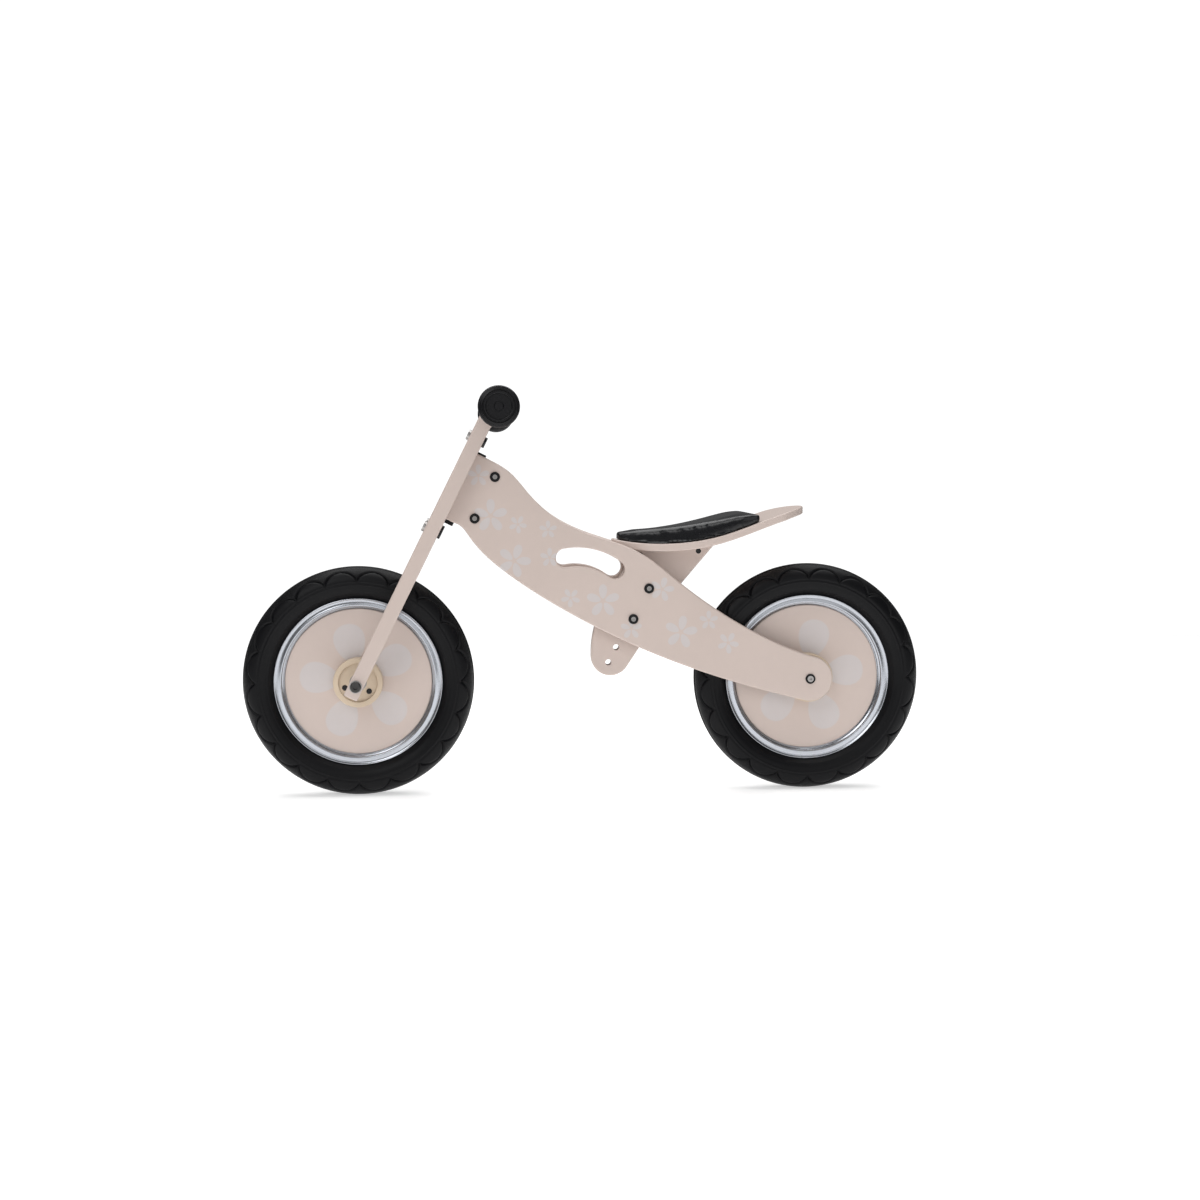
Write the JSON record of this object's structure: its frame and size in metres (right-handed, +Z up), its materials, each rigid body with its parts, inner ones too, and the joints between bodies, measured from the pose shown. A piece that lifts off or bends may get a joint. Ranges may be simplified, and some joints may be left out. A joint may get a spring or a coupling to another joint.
{
  "type": "balance bike",
  "caption": "Small pedal-free two-wheeler with flat side panels, a straight fork, solid disc wheels and a padded saddle that a child pushes along by foot.",
  "frame": {"origin": "on the ground, midway between the two axles, in the bike's middle plane", "axes": "+Z up, the bike faces -X, +Y towards its right side; the pictured side is the left, -Y"},
  "size_m": [0.8779, 0.35, 0.519],
  "materials": {
    "pink_panel": "satin paint with a pale flower print",
    "pink_wood": "satin paint over plywood",
    "cushion_vinyl": "glossy",
    "black_plastic": "satin",
    "grip_rubber": "satin",
    "tyre_rubber": "matte",
    "tube_rubber": "matte",
    "rim_alloy": "polished",
    "hub_plastic": "satin",
    "bright_steel": "satin",
    "black_steel": "satin",
    "handlebar_steel": "gloss",
    "pink_disc": "satin paint with large pale petals"
  },
  "bodies": {
    "frame": {"left_side_panel": "pink_panel", "right_side_panel": "pink_panel", "head_block": "pink_wood", "head_bolts": "bright_steel", "head_bolt_caps": "black_plastic", "lower_steering_bush": "black_plastic", "upper_steering_bush": "black_plastic", "lower_bearing_plate": "black_plastic", "upper_bearing_plate": "black_plastic", "seat_post": "pink_wood", "left_post_spacer": "pink_wood", "right_post_spacer": "pink_wood", "seat_post_bolts": "bright_steel", "seat_post_bolt_caps": "black_plastic", "seat_board": "pink_wood", "seat_screws": "bright_steel", "seat_barrel_nuts": "bright_steel", "seat_cushion": "cushion_vinyl", "rear_axle": "bright_steel", "rear_axle_caps": "black_plastic", "rear_axle_spacers": "bright_steel"},
    "fork": {"left_fork_leg": "pink_wood", "right_fork_leg": "pink_wood", "lower_crown": "pink_wood", "upper_crown": "pink_wood", "crown_bolts": "bright_steel", "crown_nuts": "black_steel", "steering_pin": "bright_steel", "steering_pin_nut": "bright_steel", "handlebar": "handlebar_steel", "handlebar_screws": "bright_steel", "left_grip": "grip_rubber", "right_grip": "grip_rubber", "front_axle": "black_steel", "front_axle_nut": "bright_steel", "front_axle_washers": "bright_steel", "front_axle_spacers": "bright_steel"},
    "front_wheel": {"front_tyre": "tyre_rubber", "front_inner_tube": "tube_rubber", "front_rim": "rim_alloy", "front_wheel_disc": "pink_disc", "front_hub_left": "hub_plastic", "front_hub_right": "hub_plastic", "front_hub_screws": "black_steel", "front_bearings": "bright_steel"},
    "rear_wheel": {"rear_tyre": "tyre_rubber", "rear_inner_tube": "tube_rubber", "rear_rim": "rim_alloy", "rear_wheel_disc": "pink_disc", "rear_hub_left": "hub_plastic", "rear_hub_right": "hub_plastic", "rear_hub_screws": "black_steel", "rear_bearings": "bright_steel"}
  },
  "joints": [
    {"name": "steering", "type": "hinge", "parent": "frame", "child": "fork", "pos_m": [-0.291, 0, 0.148], "axis": [0.4446, 0, 0.8957], "range_deg": [-30, 30]},
    {"name": "front_wheel_spin", "type": "hinge", "parent": "fork", "child": "front_wheel", "pos_m": [-0.291, 0, 0.148], "axis": [0, 1, 0], "continuous": true},
    {"name": "rear_wheel_spin", "type": "hinge", "parent": "frame", "child": "rear_wheel", "pos_m": [0.291, 0, 0.148], "axis": [0, 1, 0], "continuous": true}
  ]
}
